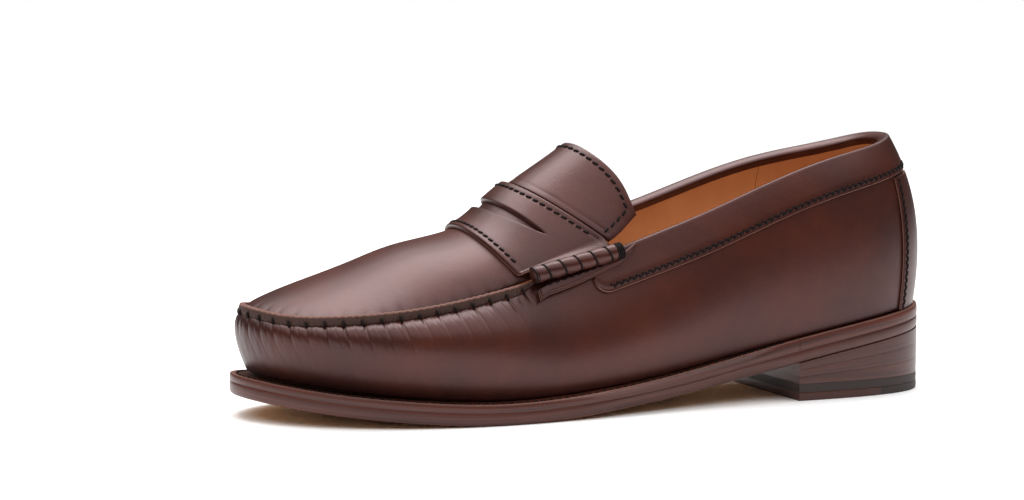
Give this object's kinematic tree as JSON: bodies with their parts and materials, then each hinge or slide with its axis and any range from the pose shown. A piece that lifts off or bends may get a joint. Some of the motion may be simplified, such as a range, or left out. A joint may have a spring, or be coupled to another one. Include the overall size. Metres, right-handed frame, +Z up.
{
  "type": "penny loafer",
  "caption": "Left beef-roll penny loafer: moccasin-seamed leather upper with keeper strap and tongue, collar band, welted leather sole and stacked heel.",
  "frame": {"origin": "middle of the sole's box on the ground", "axes": "+X towards the toe, +Y towards the outer (lateral) side of the left foot, +Z up"},
  "size_m": [0.2989, 0.1038, 0.1079],
  "materials": {
    "sole_leather": "stained and burnished sole edge",
    "heel_leather": "stacked leather, stained and waxed",
    "rubber": "matt black",
    "cork": "ground cork and resin",
    "steel": "spring steel",
    "brass": "nail heads",
    "insole": "vegetable tanned insole",
    "foam": "latex foam",
    "upper": "polished box calf, dark chestnut",
    "lining": "orange tan calf lining",
    "stiffener": "celastic and leather board"
  },
  "bodies": {
    "shoe": {"outsole": "sole_leather", "welt": "sole_leather", "heel_rand": "sole_leather", "insole_rib": "stiffener", "cork_filler": "cork", "shank": "steel", "insole_board": "insole", "heel_pad": "foam", "sock_liner": "lining", "top_piece_rubber": "rubber", "top_piece_leather": "heel_leather", "heel_rubber_layer": "rubber", "heel_lift_1": "heel_leather", "heel_lift_2": "heel_leather", "heel_lift_3": "heel_leather", "heel_nails": "brass", "moccasin_wall": "upper", "heel_counter": "stiffener", "side_lining_lateral": "stiffener", "toe_puff": "stiffener", "side_lining_medial": "stiffener", "heel_grip": "lining", "quarter_lining_lateral": "lining", "vamp_lining": "lining", "quarter_lining_medial": "lining", "collar_band": "upper", "back_strip": "upper", "seam_lip": "upper", "apron": "upper", "apron_lining": "lining", "saddle_strap": "upper", "beef_roll_lateral": "upper", "strap_foot_lateral": "upper", "beef_roll_medial": "upper", "strap_foot_medial": "upper"},
    "tongue": {"tongue": "upper", "tongue_lining": "lining"}
  },
  "joints": [
    {"name": "tongue_lift", "type": "hinge", "parent": "shoe", "child": "tongue", "pos_m": [0.03266, -0.00373, 0.08939], "axis": [0, 1, 0], "range_deg": [0, 25], "stiffness_Nm_per_rad": 0.05}
  ]
}
